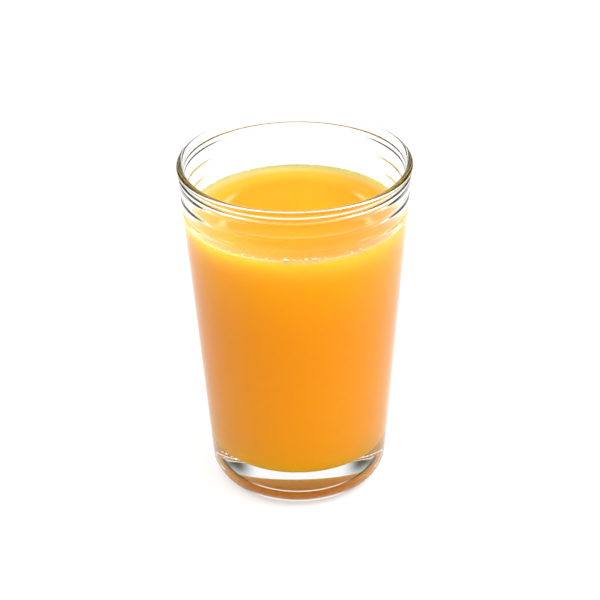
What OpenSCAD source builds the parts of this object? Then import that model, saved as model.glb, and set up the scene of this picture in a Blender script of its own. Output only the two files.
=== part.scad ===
// A pressed tumbler with a thick base, filled with orange juice to just below its moulded rings.
// Both pieces are turned about the Z axis, which runs up through the middle of the base.
// The glass stands on z = 0.

/* [Glass] */
// Height of the glass, from what it stands on to the top of the rim
glass_h = 110; // [95:0.5:135]
// Radius of the glass over the bead at the rim
rim_r = 36; // [33:0.5:44]
// Thickness of the bead, from the inside of the glass to its outside
bead_t = 2.2; // [1.8:0.1:2.8]
// How far the bead stands out past the line of the wall
bead_proud = 0.2; // [0.1:0.05:0.6]
// Radius that the line of the wall would have at z = 0, without the round heel
foot_r = 27.5; // [24:0.25:31]
// Thickness of the wall at the height of the floor
wall_t = 2.8; // [2.4:0.1:3.6]

/* [Neck and rings] */
// Depth of the neck under the bead, in from the line of the wall
neck_d = 0.55; // [0.2:0.05:0.7]
// Radius of the hollow round the neck
neck_fillet_r = 0.9; // [0.6:0.05:1]
// Number of rings cut into the wall under the neck
ring_count = 3; // [1:1:3]
// Height of the rim over the middle of the first ring
ring_drop = 4.3; // [4.3:0.1:5]
// Height between the middles of two rings
ring_pitch = 4.6; // [3:0.1:6]
// Height of the hollow of each ring
ring_h = 2.4; // [1.2:0.1:2.4]
// Depth of the first ring
ring_d = 0.3; // [0.15:0.05:0.6]
// How much shallower each ring is than the one above it
ring_fade = 0.05; // [0:0.01:0.07]

/* [Base] */
// Height of the floor inside the glass
floor_z = 12.5; // [9:0.25:18]
// Radius of the corner between the floor and the wall, inside
corner_r = 6.5; // [3:0.25:14]
// Radius of the round heel outside
heel_r = 8; // [6:0.2:11]
// Width of the flat ring that the glass stands on
bearing_w = 3.2; // [1:0.1:5]
// Depth of the hollow under the base, at its side
punt_d = 2.5; // [1:0.25:5]
// Radius of the round corner at the top of the hollow's side
punt_corner_r = 2.2; // [1:0.1:3]
// How much higher the middle of the hollow is than its side
punt_dome_h = 0.5; // [0.2:0.1:1.5]

/* [Juice] */
// Height of the rim over the flat surface of the juice
juice_drop = 18; // [6:0.5:40]
// How far the juice climbs at the wall
climb_h = 1; // [0.4:0.1:1.6]
// Width of the band over which the juice climbs
climb_w = 2.2; // [1.6:0.1:3.5]

/* [Hidden] */
$fn = 96;

ARC_STEPS = 16;
RING_STEPS = 8;
SHALLOW_STEPS = 6;

// Line of the outer wall
bead_r = bead_t / 2;
bead_z = glass_h - bead_r;
wall_slope = (rim_r - bead_proud - foot_r) / bead_z;
wall_angle = atan(wall_slope);
function outer_line(z) = foot_r + wall_slope * z;

// Heel, which meets the wall and z = 0 without an edge
heel_x = outer_line(heel_r) - heel_r / cos(wall_angle);
bearing_in_r = heel_x - bearing_w;

// Hollow under the base, whose round corner leaves a little of its side straight
MIN_SIDE_H = 0.1;
punt_round_r = min(punt_corner_r, punt_d - MIN_SIDE_H);
dome_rim_r = bearing_in_r - punt_round_r;
dome_top_z = punt_d + punt_dome_h;
dome_r = (dome_rim_r * dome_rim_r + punt_dome_h * punt_dome_h) / (2 * punt_dome_h);
dome_half_angle = asin(dome_rim_r / dome_r);

// Neck, a hollow that meets the bead without an edge
bead_x = rim_r - bead_r;
neck_x = outer_line(bead_z - bead_r) - neck_d + neck_fillet_r;
neck_z = bead_z - sqrt(pow(bead_r + neck_fillet_r, 2) - pow(neck_x - bead_x, 2));
neck_top_angle = atan2(bead_z - neck_z, bead_x - neck_x);
neck_end_angle = 180 + acos((neck_x - outer_line(neck_z - neck_fillet_r)) / neck_fillet_r);

// Inner wall, straight from the floor's corner to the bead
inner_floor_r = outer_line(floor_z) - wall_t;
inner_top_r = rim_r - bead_t;
inner_slope = (inner_top_r - inner_floor_r) / (bead_z - floor_z);
inner_angle = atan(inner_slope);
function inner_line(z) = inner_floor_r + inner_slope * (z - floor_z);
corner_x = inner_line(floor_z + corner_r) - corner_r / cos(inner_angle);

// Juice surface and the band that climbs the wall
juice_z = glass_h - juice_drop;
climb_top_z = juice_z + climb_h;
climb_r = (climb_w * climb_w + climb_h * climb_h) / (2 * climb_h);
climb_x = inner_line(climb_top_z) - climb_w;
climb_angle = asin(climb_w / climb_r);

// Points of an arc in the r-z plane, from one angle to another
function arc(x, z, r, from, to, steps) =
    [for (i = [0 : steps]) let (a = from + (to - from) * i / steps) [x + r * cos(a), z + r * sin(a)]];

// One ring, from its top down: a hollow with a rounded bottom and soft edges
function ring_points(index) =
    let (
        middle = glass_h - ring_drop - index * ring_pitch,
        depth = ring_d - index * ring_fade
    )
    [for (i = [0 : RING_STEPS])
        let (
            t = 1 - 2 * i / RING_STEPS,
            z = middle + t * ring_h / 2
        )
        [outer_line(z) - depth * (1 + cos(180 * t)) / 2, z]];

function rings() = [for (index = [0 : ring_count - 1]) each ring_points(index)];

// Inside of the glass up to the bead, from the middle of the floor
function inside_points() = concat(
    [[0, floor_z]],
    arc(corner_x, floor_z + corner_r, corner_r, -90, -inner_angle, ARC_STEPS)
);

function bead_points() =
    arc(bead_x, bead_z, bead_r, 180, neck_top_angle - 180, ARC_STEPS);

function neck_points() =
    let (points = arc(neck_x, neck_z, neck_fillet_r, neck_top_angle, neck_end_angle, SHALLOW_STEPS))
    [for (i = [1 : SHALLOW_STEPS]) points[i]];

function heel_points() = arc(heel_x, heel_r, heel_r, -wall_angle, -90, ARC_STEPS);

// Hollow under the base: its side, its round corner and a shallow dome up to the axis
function punt_points() =
    let (dome = arc(0, dome_top_z - dome_r, dome_r, 90 - dome_half_angle, 90, SHALLOW_STEPS))
    concat(
        [[bearing_in_r, 0]],
        arc(dome_rim_r, punt_d - punt_round_r, punt_round_r, 0, 90, ARC_STEPS),
        [for (i = [1 : SHALLOW_STEPS]) dome[i]]
    );

module glass() {
    color([0.86, 0.93, 0.9, 0.4])
        rotate_extrude()
            polygon(concat(
                inside_points(),
                bead_points(),
                neck_points(),
                rings(),
                heel_points(),
                punt_points()
            ));
}

module juice() {
    surface_points = arc(climb_x, juice_z + climb_r, climb_r, climb_angle - 90, -90, SHALLOW_STEPS);
    color([0.98, 0.66, 0.1])
        rotate_extrude()
            polygon(concat(inside_points(), surface_points, [[0, juice_z]]));
}

glass();
juice();
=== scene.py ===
"""Looks for a glass of orange juice that stands on a pale table.

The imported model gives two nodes, the glass and the juice.  Both are turned again here as
smooth pieces: the pressed tumbler with its bead, neck, rings, round heel and knurled foot,
and the juice, which climbs a little at the wall and reaches just into it.  Small bubbles are
added along the juice's edge.  The table, the light and the camera come last.

Places and sizes are in metres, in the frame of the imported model: the Z axis runs up through
the middle of the base, and the glass stands on z = 0.
"""

import logging
import math
import random
from collections.abc import Callable, Iterable
from dataclasses import dataclass, field
from enum import Enum
from itertools import pairwise

import bpy
from mathutils import Matrix, Vector


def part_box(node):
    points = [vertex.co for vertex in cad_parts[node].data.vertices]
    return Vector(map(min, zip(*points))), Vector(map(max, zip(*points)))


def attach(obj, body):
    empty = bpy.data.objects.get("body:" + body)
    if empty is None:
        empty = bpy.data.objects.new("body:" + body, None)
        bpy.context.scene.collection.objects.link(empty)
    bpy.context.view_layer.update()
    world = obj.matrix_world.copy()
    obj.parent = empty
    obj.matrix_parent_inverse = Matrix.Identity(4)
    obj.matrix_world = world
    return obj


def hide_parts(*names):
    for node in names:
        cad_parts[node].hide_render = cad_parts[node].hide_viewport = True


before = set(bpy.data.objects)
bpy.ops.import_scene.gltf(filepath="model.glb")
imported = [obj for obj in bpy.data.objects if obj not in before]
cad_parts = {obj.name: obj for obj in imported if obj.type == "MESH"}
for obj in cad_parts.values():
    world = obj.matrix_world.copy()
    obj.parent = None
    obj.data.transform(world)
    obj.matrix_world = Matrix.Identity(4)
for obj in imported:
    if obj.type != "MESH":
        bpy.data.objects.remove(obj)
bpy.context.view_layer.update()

LOG = logging.getLogger("orange_juice")
BODY = "root"
MM = 0.001
FULL_TURN = 2 * math.pi
CLIMB = 1.0 * MM  # how far the juice climbs at the wall

Point = tuple[float, float]
Colour = tuple[float, float, float]


class Slot(Enum):
    """The material slots of the record."""

    CLEAR_GLASS = "clear_glass"
    ORANGE_JUICE = "orange_juice"


class Node(Enum):
    """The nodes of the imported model."""

    GLASS = "glass"
    JUICE = "juice"


# ---------------------------------------------------------------- profiles


def arc(centre: Point, radius: float, start: float, end: float, steps: int) -> list[Point]:
    """Gives the points of an arc in the plane of a profile.

    Args:
        centre: radius and height of the arc's centre.
        radius: radius of the arc.
        start: angle of the first point, in radians, from the outward direction.
        end: angle of the last point.
        steps: number of equal steps along the arc.

    Returns:
        The points, as (radius, height) pairs.
    """
    turns = [start + (end - start) * step / steps for step in range(steps + 1)]
    return [(centre[0] + radius * math.cos(a), centre[1] + radius * math.sin(a)) for a in turns]


def straight(first: Point, last: Point, steps: int) -> list[Point]:
    """Gives the points between two ends of a straight stretch, without the ends.

    Args:
        first: point before the stretch.
        last: point after it.
        steps: number of equal steps from one to the other.

    Returns:
        The points strictly between the two.
    """
    parts = [step / steps for step in range(1, steps)]
    return [(first[0] + (last[0] - first[0]) * t, first[1] + (last[1] - first[1]) * t) for t in parts]


@dataclass(frozen=True)
class TumblerShape:
    """Sizes of the pressed tumbler.  What the frame gives is read from it."""

    height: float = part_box(Node.GLASS.value)[1].z
    rim_radius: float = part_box(Node.GLASS.value)[1].x
    floor_z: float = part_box(Node.JUICE.value)[0].z
    bead: float = 2.2 * MM
    bead_proud: float = 0.2 * MM
    foot_radius: float = 27.5 * MM
    wall: float = 2.8 * MM
    neck_depth: float = 0.55 * MM
    neck_fillet: float = 0.9 * MM
    ring_count: int = 3
    ring_drop: float = 4.3 * MM
    ring_pitch: float = 4.6 * MM
    ring_height: float = 2.4 * MM
    ring_depth: float = 0.3 * MM
    ring_fade: float = 0.05 * MM
    corner: float = 6.5 * MM
    heel: float = 8.0 * MM
    bearing: float = 3.2 * MM
    punt_depth: float = 2.5 * MM
    punt_corner: float = 2.2 * MM
    punt_dome: float = 0.5 * MM
    fine_steps: int = 24
    ring_steps: int = 12
    wall_steps: int = 16
    outside_steps: int = 12
    floor_steps: int = 8
    foot_steps: int = 4
    punt_side_steps: int = 3

    @property
    def bead_z(self) -> float:
        """Height of the middle of the bead."""
        return self.height - self.bead / 2

    @property
    def outer_slope(self) -> float:
        """How much the outer wall widens for each metre of height."""
        return (self.rim_radius - self.bead_proud - self.foot_radius) / self.bead_z

    def outer(self, z: float) -> float:
        """Radius of the outer wall's line at height z."""
        return self.foot_radius + self.outer_slope * z

    @property
    def inner_slope(self) -> float:
        """How much the inner wall widens for each metre of height."""
        floor_radius = self.outer(self.floor_z) - self.wall
        return (self.rim_radius - self.bead - floor_radius) / (self.bead_z - self.floor_z)

    def inner(self, z: float) -> float:
        """Radius of the inner wall's line at height z."""
        return self.outer(self.floor_z) - self.wall + self.inner_slope * (z - self.floor_z)

    @property
    def heel_radius(self) -> float:
        """Radius at which the round heel meets what the glass stands on."""
        return self.outer(self.heel) - self.heel / math.cos(math.atan(self.outer_slope))

    @property
    def bearing_radius(self) -> float:
        """Inner radius of the flat ring that the glass stands on."""
        return self.heel_radius - self.bearing

    def cavity(self, reach: float = 0.0) -> list[Point]:
        """Gives the floor and its round corner, from the middle outwards.

        Args:
            reach: how far the profile lies outside the glass's own inner face.

        Returns:
            The points, which end where the straight inner wall begins.
        """
        lean = math.atan(self.inner_slope)
        middle_z = self.floor_z + self.corner
        middle = (self.inner(middle_z) - self.corner / math.cos(lean), middle_z)
        start = (0.0, self.floor_z - reach)
        corner = arc(middle, self.corner + reach, -math.pi / 2, -lean, self.fine_steps)
        return [start, *straight(start, corner[0], self.floor_steps), *corner]

    def bead_and_neck(self) -> list[Point]:
        """Points over the bead, from the inside, and round the hollow of the neck under it."""
        radius = self.bead / 2
        bead = (self.rim_radius - radius, self.bead_z)
        neck_x = self.outer(self.bead_z - radius) - self.neck_depth + self.neck_fillet
        rise = math.sqrt((radius + self.neck_fillet) ** 2 - (neck_x - bead[0]) ** 2)
        neck = (neck_x, self.bead_z - rise)
        meet = math.atan2(bead[1] - neck[1], bead[0] - neck[0])
        below = self.outer(neck[1] - self.neck_fillet)
        end = math.pi + math.acos((neck_x - below) / self.neck_fillet)
        over = arc(bead, radius, math.pi, meet - math.pi, self.fine_steps)
        return over + arc(neck, self.neck_fillet, meet, end, self.ring_steps)[1:]

    def ring(self, index: int) -> list[Point]:
        """Points of one ring from its top down, where index 0 is the highest."""
        middle = self.height - self.ring_drop - index * self.ring_pitch
        depth = self.ring_depth - index * self.ring_fade
        points = []
        for step in range(self.ring_steps + 1):
            t = 1 - 2 * step / self.ring_steps
            z = middle + t * self.ring_height / 2
            points.append((self.outer(z) - depth * (1 + math.cos(math.pi * t)) / 2, z))
        return points

    def outside(self) -> list[Point]:
        """Points down the outside: rings, wall, heel and bearing ring."""
        lean = math.atan(self.outer_slope)
        rings = [point for index in range(self.ring_count) for point in self.ring(index)]
        heel = arc((self.heel_radius, self.heel), self.heel, -lean, -math.pi / 2, 2 * self.fine_steps)
        foot = straight(heel[-1], (self.bearing_radius, 0.0), self.foot_steps)
        return rings + straight(rings[-1], heel[0], self.outside_steps) + heel + foot

    def punt(self) -> list[Point]:
        """Points of the hollow under the base: its side, its round corner and its shallow dome."""
        rim = self.bearing_radius - self.punt_corner
        foot = (self.bearing_radius, 0.0)
        middle = (rim, self.punt_depth - self.punt_corner)
        corner = arc(middle, self.punt_corner, 0.0, math.pi / 2, self.fine_steps)
        top = self.punt_depth + self.punt_dome
        radius = (rim**2 + self.punt_dome**2) / (2 * self.punt_dome)
        half = math.asin(rim / radius)
        dome = arc((0.0, top - radius), radius, math.pi / 2 - half, math.pi / 2, self.ring_steps)
        side = straight(foot, corner[0], self.punt_side_steps)
        return [foot, *side, *corner, *dome[1:-1], (0.0, top)]

    def profile(self) -> list[Point]:
        """The whole outline, from the middle of the floor to the middle of the punt."""
        cavity = self.cavity()
        bead = self.bead_and_neck()
        wall = straight(cavity[-1], bead[0], self.wall_steps)
        return cavity + wall + bead + self.outside() + self.punt()


# ---------------------------------------------------------------- lathe


@dataclass(frozen=True)
class Lathe:
    """Turns a profile round the Z axis."""

    steps: int = 256
    merge: float = 0.002 * MM
    soft_edge: float = math.radians(50)

    def turn(self, name: str, profile: list[Point]) -> bpy.types.Object:
        """Draws a profile point by point, spins it and closes its seam and poles.

        Args:
            name: name of the new object.
            profile: (radius, height) points that begin and end on the axis.

        Returns:
            The turned piece, with its origin at the origin of the frame.
        """
        bpy.ops.object.select_all(action="DESELECT")
        bpy.ops.mesh.primitive_plane_add(size=MM, location=(profile[0][0], 0, profile[0][1]))
        piece = bpy.context.object
        piece.name = piece.data.name = name
        bpy.ops.object.transform_apply(location=True, rotation=True, scale=True)
        bpy.ops.object.mode_set(mode="EDIT")
        bpy.ops.mesh.select_all(action="SELECT")
        bpy.ops.mesh.merge(type="CENTER")
        for (r0, z0), (r1, z1) in pairwise(profile):
            bpy.ops.mesh.extrude_region_move(TRANSFORM_OT_translate={"value": (r1 - r0, 0, z1 - z0)})
        bpy.ops.mesh.select_all(action="SELECT")
        bpy.ops.mesh.spin(steps=self.steps, angle=FULL_TURN, center=(0, 0, 0), axis=(0, 0, 1))
        bpy.ops.mesh.select_all(action="SELECT")
        bpy.ops.mesh.remove_doubles(threshold=self.merge)
        bpy.ops.mesh.normals_make_consistent(inside=False)
        bpy.ops.object.mode_set(mode="OBJECT")
        bpy.ops.object.shade_smooth_by_angle(angle=self.soft_edge)
        return piece


def pick(piece: bpy.types.Object, wanted: Callable[[Vector], bool]) -> int:
    """Selects the points of a piece that pass a test, and leaves it in edit mode.

    Args:
        piece: the piece to select on.
        wanted: test of a point's place.

    Returns:
        The number of points selected.
    """
    bpy.ops.object.select_all(action="DESELECT")
    piece.select_set(True)
    bpy.context.view_layer.objects.active = piece
    bpy.ops.object.mode_set(mode="EDIT")
    bpy.ops.mesh.select_mode(type="VERT")
    bpy.ops.mesh.select_all(action="DESELECT")
    bpy.ops.object.mode_set(mode="OBJECT")
    count = 0
    for vertex in piece.data.vertices:
        vertex.select = wanted(vertex.co)
        count += vertex.select
    bpy.ops.object.mode_set(mode="EDIT")
    return count


# ---------------------------------------------------------------- finishes


class Nodes:
    """Short ways to add shader nodes to one node tree."""

    def __init__(self, tree: bpy.types.NodeTree) -> None:
        """Keeps the tree.

        Args:
            tree: node tree of a material or a world.
        """
        self.tree = tree

    def add(self, kind: str, **inputs: object) -> bpy.types.Node:
        """Adds a node and sets or links its inputs.

        Args:
            kind: type name of the node.
            **inputs: a value or a socket for each input, by its name with _ for each space.

        Returns:
            The new node.
        """
        node = self.tree.nodes.new(kind)
        for key, value in inputs.items():
            self.feed(node.inputs[key.replace("_", " ")], value)
        return node

    def feed(self, socket: bpy.types.NodeSocket, value: object) -> None:
        """Links a socket to another, or sets its value.

        Args:
            socket: input to fill.
            value: output socket, number or colour.
        """
        if isinstance(value, bpy.types.NodeSocket):
            self.tree.links.new(value, socket)
        else:
            socket.default_value = value

    def place(self) -> bpy.types.NodeSocket:
        """Gives the place on the object, in metres."""
        return self.add("ShaderNodeTexCoord").outputs["Object"]

    def sums(self, operation: str, *values: object) -> bpy.types.NodeSocket:
        """Works out one sum.

        Args:
            operation: name of the operation.
            *values: numbers or sockets, in order.

        Returns:
            The socket that holds the result.
        """
        node = self.tree.nodes.new("ShaderNodeMath")
        node.operation = operation
        for socket, value in zip(node.inputs, values):
            self.feed(socket, value)
        return node.outputs[0]

    def ramp(
        self, value: object, start: float, end: float, low: object, high: object
    ) -> bpy.types.NodeSocket:
        """Eases from one number to another as a value crosses a stretch.

        Args:
            value: socket or number to follow.
            start: value at which the result leaves low.
            end: value at which it reaches high.
            low: result before the stretch.
            high: result after it.

        Returns:
            The socket that holds the result.
        """
        node = self.tree.nodes.new("ShaderNodeMapRange")
        node.interpolation_type = "SMOOTHSTEP"
        for socket, number in zip(node.inputs[:5], (value, start, end, low, high)):
            self.feed(socket, number)
        return node.outputs[0]

    def blend(self, factor: object, first: object, second: object) -> bpy.types.NodeSocket:
        """Mixes two colours.

        Args:
            factor: share of the second colour.
            first: colour or socket.
            second: colour or socket.

        Returns:
            The socket that holds the mixed colour.
        """
        node = self.tree.nodes.new("ShaderNodeMix")
        node.data_type = "RGBA"
        self.feed(node.inputs[0], factor)
        for socket, value in zip((node.inputs[6], node.inputs[7]), (first, second)):
            self.feed(socket, (*value, 1.0) if isinstance(value, tuple) else value)
        return node.outputs[2]

    def radius(self) -> bpy.types.NodeSocket:
        """Gives the distance from the Z axis, in metres."""
        split = self.add("ShaderNodeSeparateXYZ", Vector=self.place())
        squares = [self.sums("MULTIPLY", split.outputs[i], split.outputs[i]) for i in (0, 1)]
        return self.sums("SQRT", self.sums("ADD", *squares))

    def height(self) -> bpy.types.NodeSocket:
        """Gives the height above the table, in metres."""
        return self.add("ShaderNodeSeparateXYZ", Vector=self.place()).outputs[2]


def new_material(name: str) -> tuple[bpy.types.Material, bpy.types.Node, Nodes]:
    """Makes a material with an empty Principled shader.

    Args:
        name: name of the material.

    Returns:
        The material, its shader and its nodes.
    """
    material = bpy.data.materials.new(name)
    material.use_nodes = True
    nodes = Nodes(material.node_tree)
    return material, material.node_tree.nodes["Principled BSDF"], nodes


@dataclass(frozen=True)
class ClearGlass:
    """Clear pressed glass with a faint green-blue body."""

    tint: Colour = (0.985, 0.995, 0.985)
    body: Colour = (0.68, 0.85, 0.80)
    density: float = 1.5
    ior: float = 1.5
    gleam: Colour = (0.12, 0.12, 0.12)

    def material(self) -> bpy.types.Material:
        """Builds the material."""
        material, shader, nodes = new_material("Clear glass")
        shader.inputs["Base Color"].default_value = (*self.tint, 1.0)
        shader.inputs["Roughness"].default_value = 0.0
        shader.inputs["IOR"].default_value = self.ior
        shader.inputs["Specular Tint"].default_value = (*self.gleam, 1.0)
        shader.inputs["Transmission Weight"].default_value = 1.0
        body = nodes.add("ShaderNodeVolumeAbsorption", Color=(*self.body, 1.0), Density=self.density)
        output = nodes.tree.nodes["Material Output"]
        nodes.tree.links.new(body.outputs[0], output.inputs["Volume"])
        return material


@dataclass(frozen=True)
class OrangeJuice:
    """Cloudy orange juice, deep orange, with painted light: lighter and yellower towards its top, and
    on its top darker in the middle, lighter at the wall and with two caustic streaks.
    """

    deep: Colour = (0.91, 0.39, 0.0)
    # painted light: the lighter, yellower colours that the body takes on towards its top, where light
    # comes in
    painted_lit_upper: Colour = (0.95, 0.48, 0.0)
    painted_lit_waterline: Colour = (0.96, 0.57, 0.04)
    # painted light on the top: darker in the middle, lighter and paler towards the wall, where light
    # comes in through the glass
    surface: Colour = (0.72, 0.27, 0.0)
    painted_wall_light: Colour = (0.80, 0.36, 0.015)
    edge: Colour = (0.84, 0.46, 0.17)
    # painted caustic light: the colour of two pale streaks on the top
    painted_caustic: Colour = (0.88, 0.52, 0.16)
    surface_z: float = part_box(Node.JUICE.value)[1].z - CLIMB
    skin_depth: float = 0.6 * MM
    skin_full: float = 0.1 * MM
    waterline_depth: float = 9.0 * MM
    edge_radius: float = 32.5 * MM
    edge_width: float = 5.0 * MM
    painted_wall_light_from: float = 21.0 * MM
    # place, width, strength and sideways spread of the two painted caustic streaks
    painted_caustic_radius: float = 23.0 * MM
    painted_caustic_width: float = 1.6 * MM
    painted_caustic_share: float = 0.8
    painted_caustic_ends: tuple[float, float] = (0.72, 0.92)
    fade_from: float = 62.0 * MM
    fade_to_drop: float = 2.0 * MM
    glow: float = 20.0 * MM
    spread: Colour = (1.0, 0.7, 0.1)
    gloss: float = 0.12
    gleam: float = 0.1
    ior: float = 1.34

    def material(self) -> bpy.types.Material:
        """Builds the material."""
        material, shader, nodes = new_material("Orange juice")
        height, radius = nodes.height(), nodes.radius()
        surface, edge_start = self.surface_z, self.edge_radius - self.edge_width
        # painted light: the body lightens and yellows towards its top and its waterline
        rise = nodes.ramp(height, self.fade_from, surface - self.fade_to_drop, 0.0, 1.0)
        body = nodes.blend(rise, self.deep, self.painted_lit_upper)
        near_top = nodes.ramp(height, surface - self.waterline_depth, surface, 0.0, 1.0)
        body = nodes.blend(near_top, body, self.painted_lit_waterline)
        # painted light on the top: darker in the middle, lighter towards the wall and palest at the
        # edge
        near_edge = nodes.ramp(radius, edge_start, self.edge_radius, 0.0, 1.0)
        outwards = nodes.ramp(radius, self.painted_wall_light_from, edge_start, 0.0, 1.0)
        top = nodes.blend(outwards, self.surface, self.painted_wall_light)
        # painted caustic: two pale streaks of light on the top, to the left and right
        painted_caustic = nodes.sums("MULTIPLY", self.painted_caustic_streaks(nodes, radius), self.painted_caustic_share)
        top = nodes.blend(painted_caustic, top, self.painted_caustic)
        top = nodes.blend(near_edge, top, self.edge)
        on_top = nodes.ramp(height, surface - self.skin_depth, surface - self.skin_full, 0.0, 1.0)
        nodes.feed(shader.inputs["Base Color"], nodes.blend(on_top, body, top))
        shader.inputs["Roughness"].default_value = self.gloss
        shader.inputs["IOR"].default_value = self.ior
        shader.inputs["Specular IOR Level"].default_value = self.gleam
        shader.inputs["Subsurface Weight"].default_value = 1.0
        shader.inputs["Subsurface Radius"].default_value = self.spread
        shader.inputs["Subsurface Scale"].default_value = self.glow
        return material

    def painted_caustic_streaks(self, nodes: Nodes, radius: bpy.types.NodeSocket) -> bpy.types.NodeSocket:
        """Finds the two thin curved streaks of painted caustic light, to the left and right of the
        middle.

        Args:
            nodes: nodes of the material.
            radius: distance from the axis.

        Returns:
            The strength of the streaks, from 0 to 1.
        """
        off = nodes.sums("ABSOLUTE", nodes.sums("SUBTRACT", radius, self.painted_caustic_radius))
        ring = nodes.ramp(off, 0.0, self.painted_caustic_width, 1.0, 0.0)
        across = nodes.add("ShaderNodeSeparateXYZ", Vector=nodes.place()).outputs[0]
        share = nodes.sums("DIVIDE", nodes.sums("ABSOLUTE", across), radius)
        return nodes.sums("MULTIPLY", ring, nodes.ramp(share, *self.painted_caustic_ends, 0.0, 1.0))


@dataclass(frozen=True)
class BubbleSkin:
    """Pale, wet skin of the small bubbles."""

    colour: Colour = (1.0, 0.80, 0.58)
    gloss: float = 0.08
    ior: float = 1.33
    cloud: float = 0.5
    spread: Colour = (1.0, 0.7, 0.4)
    glow: float = 0.5 * MM

    def material(self) -> bpy.types.Material:
        """Builds the material."""
        material, shader, _ = new_material("Bubble skin")
        shader.inputs["Base Color"].default_value = (*self.colour, 1.0)
        shader.inputs["Roughness"].default_value = self.gloss
        shader.inputs["IOR"].default_value = self.ior
        shader.inputs["Subsurface Weight"].default_value = self.cloud
        shader.inputs["Subsurface Radius"].default_value = self.spread
        shader.inputs["Subsurface Scale"].default_value = self.glow
        return material


# ---------------------------------------------------------------- pieces


@dataclass
class Tumbler:
    """The pressed glass, with fine teeth round its foot."""

    shape: TumblerShape = field(default_factory=TumblerShape)
    finish: ClearGlass = field(default_factory=ClearGlass)
    lathe: Lathe = field(default_factory=Lathe)
    tooth_depth: float = 0.35 * MM
    tooth_reach: float = 1.5 * MM

    def build(self) -> bpy.types.Object:
        """Turns the glass, cuts its teeth and dresses it.

        Returns:
            The glass.
        """
        piece = self.lathe.turn("tumbler", self.shape.profile())
        self.knurl(piece)
        piece.data.materials.append(self.finish.material())
        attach(piece, BODY)
        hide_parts(Node.GLASS.value)
        return piece

    def knurl(self, piece: bpy.types.Object) -> None:
        """Lifts every other row of points of the foot, which leaves a ring of teeth.

        Args:
            piece: the turned glass.
        """
        step = FULL_TURN / self.lathe.steps
        low = self.shape.bearing_radius - self.shape.punt_corner
        high = self.shape.heel_radius + self.tooth_reach
        top = self.shape.punt_depth + self.shape.punt_dome

        def in_gap(place: Vector) -> bool:
            """Tells whether a point lies between two teeth."""
            row = round(math.atan2(place.y, place.x) / step)
            return row % 2 == 1 and place.z < top and low < math.hypot(place.x, place.y) < high

        count = pick(piece, in_gap)
        bpy.ops.transform.translate(value=(0, 0, self.tooth_depth))
        bpy.ops.object.mode_set(mode="OBJECT")
        LOG.info("knurl: %d points lifted", count)


@dataclass
class Juice:
    """The juice, whose sides reach just into the wall of the glass."""

    shape: TumblerShape = field(default_factory=TumblerShape)
    finish: OrangeJuice = field(default_factory=OrangeJuice)
    lathe: Lathe = field(default_factory=Lathe)
    reach: float = 0.15 * MM
    climb: float = CLIMB
    climb_width: float = 2.2 * MM
    flat_steps: int = 12
    edge_z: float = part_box(Node.JUICE.value)[1].z

    @property
    def level(self) -> float:
        """Height of the flat part of the surface."""
        return self.edge_z - self.climb

    def profile(self) -> list[Point]:
        """The outline, from the middle of the floor to the middle of the surface."""
        side = self.shape.cavity(self.reach)
        edge = (self.shape.inner(self.edge_z) + self.reach, self.edge_z)
        bend = (self.climb_width**2 + self.climb**2) / (2 * self.climb)
        middle = (self.shape.inner(self.edge_z) - self.climb_width, self.level + bend)
        end = math.asin(self.climb_width / bend)
        curve = arc(middle, bend, end - math.pi / 2, -math.pi / 2, self.climb_steps)
        flat = straight(curve[-1], (0.0, self.level), self.flat_steps)
        wall = straight(side[-1], edge, self.shape.wall_steps)
        return side + wall + [edge] + curve + flat + [(0.0, self.level)]

    @property
    def climb_steps(self) -> int:
        """Number of steps over the band that climbs the wall."""
        return self.shape.fine_steps // 2

    def build(self) -> bpy.types.Object:
        """Turns the juice and dresses it.

        Returns:
            The juice.
        """
        piece = self.lathe.turn("orange_juice", self.profile())
        piece.data.materials.append(self.finish.material())
        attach(piece, BODY)
        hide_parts(Node.JUICE.value)
        return piece


@dataclass(frozen=True)
class BubbleRun:
    """A stretch of the juice's edge with bubbles on it."""

    start: float
    end: float
    count: int
    low: float = 0.25 * MM
    high: float = 0.55 * MM


@dataclass
class Bubbles:
    """Small bubbles that cling where the juice meets the glass."""

    juice: Juice
    finish: BubbleSkin = field(default_factory=BubbleSkin)
    runs: tuple[BubbleRun, ...] = (
        BubbleRun(math.radians(-98), math.radians(-52), 12),
        BubbleRun(math.radians(-130), math.radians(-100), 4, high=0.4 * MM),
        BubbleRun(math.radians(20), math.radians(160), 8, high=0.4 * MM),
    )
    rise: float = 0.3
    squash: float = 0.8
    seed: int = 7

    def build(self) -> bpy.types.Object:
        """Sets the bubbles and joins them.

        Returns:
            The bubbles as one piece.
        """
        draw = random.Random(self.seed)
        spots = [self.bubble(draw, run) for run in self.runs for _ in range(run.count)]
        bpy.ops.object.select_all(action="DESELECT")
        for spot in spots:
            spot.select_set(True)
        bpy.context.view_layer.objects.active = spots[0]
        bpy.ops.object.join()
        piece = spots[0]
        piece.name = piece.data.name = "bubbles"
        piece.data.materials.append(self.finish.material())
        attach(piece, BODY)
        return piece

    def bubble(self, draw: random.Random, run: BubbleRun) -> bpy.types.Object:
        """Adds one flattened bubble that touches the wall, at the juice's edge.

        Args:
            draw: source of the random sizes and places.
            run: stretch of the edge that it lies on.

        Returns:
            The bubble.
        """
        radius = draw.uniform(run.low, run.high)
        turn = draw.uniform(run.start, run.end)
        out = self.juice.shape.inner(self.juice.edge_z) - radius
        height = self.juice.edge_z + self.rise * radius
        place = (out * math.cos(turn), out * math.sin(turn), height)
        bpy.ops.mesh.primitive_ico_sphere_add(subdivisions=3, radius=radius, location=place)
        piece = bpy.context.object
        bpy.ops.object.transform_apply(location=True, rotation=True, scale=True)
        bpy.ops.object.mode_set(mode="EDIT")
        bpy.ops.mesh.select_all(action="SELECT")
        bpy.ops.transform.resize(value=(1, 1, self.squash), center_override=place)
        bpy.ops.object.mode_set(mode="OBJECT")
        bpy.ops.object.shade_smooth()
        return piece


# ---------------------------------------------------------------- studio


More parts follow.
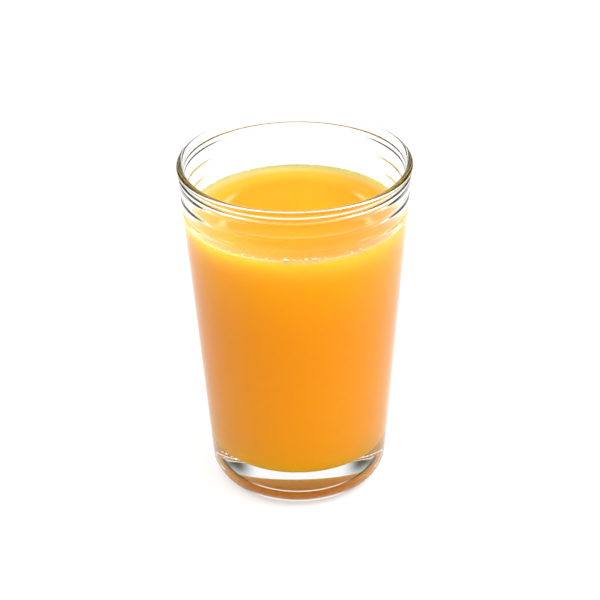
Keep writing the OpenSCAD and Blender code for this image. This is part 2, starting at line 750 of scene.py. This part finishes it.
@dataclass
class Studio:
    """The table, the soft light and the camera."""

    table_size: float = 4.0
    table_glow: float = 0.7
    table_colour: Colour = (0.30, 0.30, 0.30)
    table_gloss: float = 0.7
    # painted shadow: the table's glow fades out under the glass between these radii
    painted_shadow_span: tuple[float, float] = (16.0 * MM, 27.0 * MM)
    aim: Vector = field(default_factory=lambda: Vector((1.0 * MM, 0.0, 61.2 * MM)))
    elevation: float = 0.51225
    distance: float = 0.6403
    roll: float = -0.01553
    lens: float = 121.993
    side_dark: Colour = (0.045, 0.052, 0.030)
    front: float = 1.2
    corners: float = 2.4
    above: float = 1.6
    overhead: tuple[float, float] = (0.5, 0.75)
    sideways: tuple[float, float] = (0.3, 0.5)
    window_place: Vector = field(default_factory=lambda: Vector((0.5, -0.2, 0.7)))
    window_size: float = 0.5
    window_power: float = 6.0

    def build(self) -> None:
        """Sets the table, the surroundings, the window and the camera."""
        self.table()
        self.surroundings()
        self.window()
        self.camera()
        bpy.context.scene.view_settings.view_transform = "Standard"

    def table(self) -> None:
        """Lays the pale table under the glass.  It glows evenly, which washes out shade on it, except
        under the glass, where the glow fades out as a painted shadow.
        """
        bpy.ops.object.select_all(action="DESELECT")
        bpy.ops.mesh.primitive_plane_add(size=self.table_size, location=(0, 0, 0))
        table = bpy.context.object
        table.name = table.data.name = "table"
        material, shader, nodes = new_material("Pale table")
        # painted shadow: no glow under the glass, full glow further out
        glow = nodes.ramp(nodes.radius(), *self.painted_shadow_span, 0.0, self.table_glow)
        shader.inputs["Base Color"].default_value = (*self.table_colour, 1.0)
        nodes.feed(shader.inputs["Emission Strength"], glow)
        shader.inputs["Emission Color"].default_value = (1, 1, 1, 1)
        shader.inputs["Roughness"].default_value = self.table_gloss
        table.data.materials.append(material)

    def surroundings(self) -> None:
        """Makes a bright room: white all round, brighter above and in front, dark at the sides."""
        world = bpy.data.worlds.new("studio")
        bpy.context.scene.world = world
        world.use_nodes = True
        nodes = Nodes(world.node_tree)
        way = nodes.add("ShaderNodeTexCoord").outputs["Generated"]
        x, y, z = nodes.add("ShaderNodeSeparateXYZ", Vector=way).outputs
        low = nodes.ramp(z, *self.overhead, 1.0, 0.0)
        not_front = nodes.ramp(y, -0.55, -0.25, 0.0, 1.0)
        wide = nodes.ramp(nodes.sums("ABSOLUTE", x), *self.sideways, 0.0, 1.0)
        sides = nodes.sums("MULTIPLY", nodes.sums("MULTIPLY", wide, low), not_front)
        front = nodes.ramp(nodes.sums("ABSOLUTE", x), 0.2, 0.7, self.front, self.corners)
        behind = nodes.ramp(y, -0.35, 0.1, front, 1.0)
        bright = nodes.sums("MAXIMUM", behind, nodes.ramp(z, *self.overhead, 0.0, self.above))
        background = nodes.tree.nodes["Background"]
        nodes.feed(background.inputs["Color"], nodes.blend(sides, (1.0, 1.0, 1.0), self.side_dark))
        nodes.feed(background.inputs["Strength"], bright)

    def window(self) -> None:
        """Hangs one soft light in front and to the right, high up."""
        place = self.window_place
        bpy.ops.object.light_add(type="AREA", location=place)
        light = bpy.context.object
        light.name = "window"
        light.data.shape = "RECTANGLE"
        light.data.size = light.data.size_y = self.window_size
        light.data.energy = self.window_power
        light.rotation_euler = (self.aim - place).to_track_quat("-Z", "Y").to_euler()

    def camera(self) -> None:
        """Sets the camera, which looks down on the glass from the front."""
        way = Vector((0, -math.cos(self.elevation), math.sin(self.elevation)))
        place = self.aim + way * self.distance
        bpy.ops.object.camera_add(location=place)
        camera = bpy.context.object
        camera.data.lens = self.lens
        look = (self.aim - place).to_track_quat("-Z", "Y").to_matrix().to_4x4()
        camera.matrix_world = Matrix.Translation(place) @ look @ Matrix.Rotation(self.roll, 4, "Z")
        bpy.context.scene.camera = camera


def main() -> None:
    """Builds the pieces in order, then the studio round them."""
    logging.basicConfig(level=logging.INFO)
    juice = Juice()
    for maker in (Tumbler(), juice, Bubbles(juice)):
        piece = maker.build()
        LOG.info("%s: %d faces", piece.name, len(piece.data.polygons))
    Studio().build()


if __name__ == "__main__":
    main()
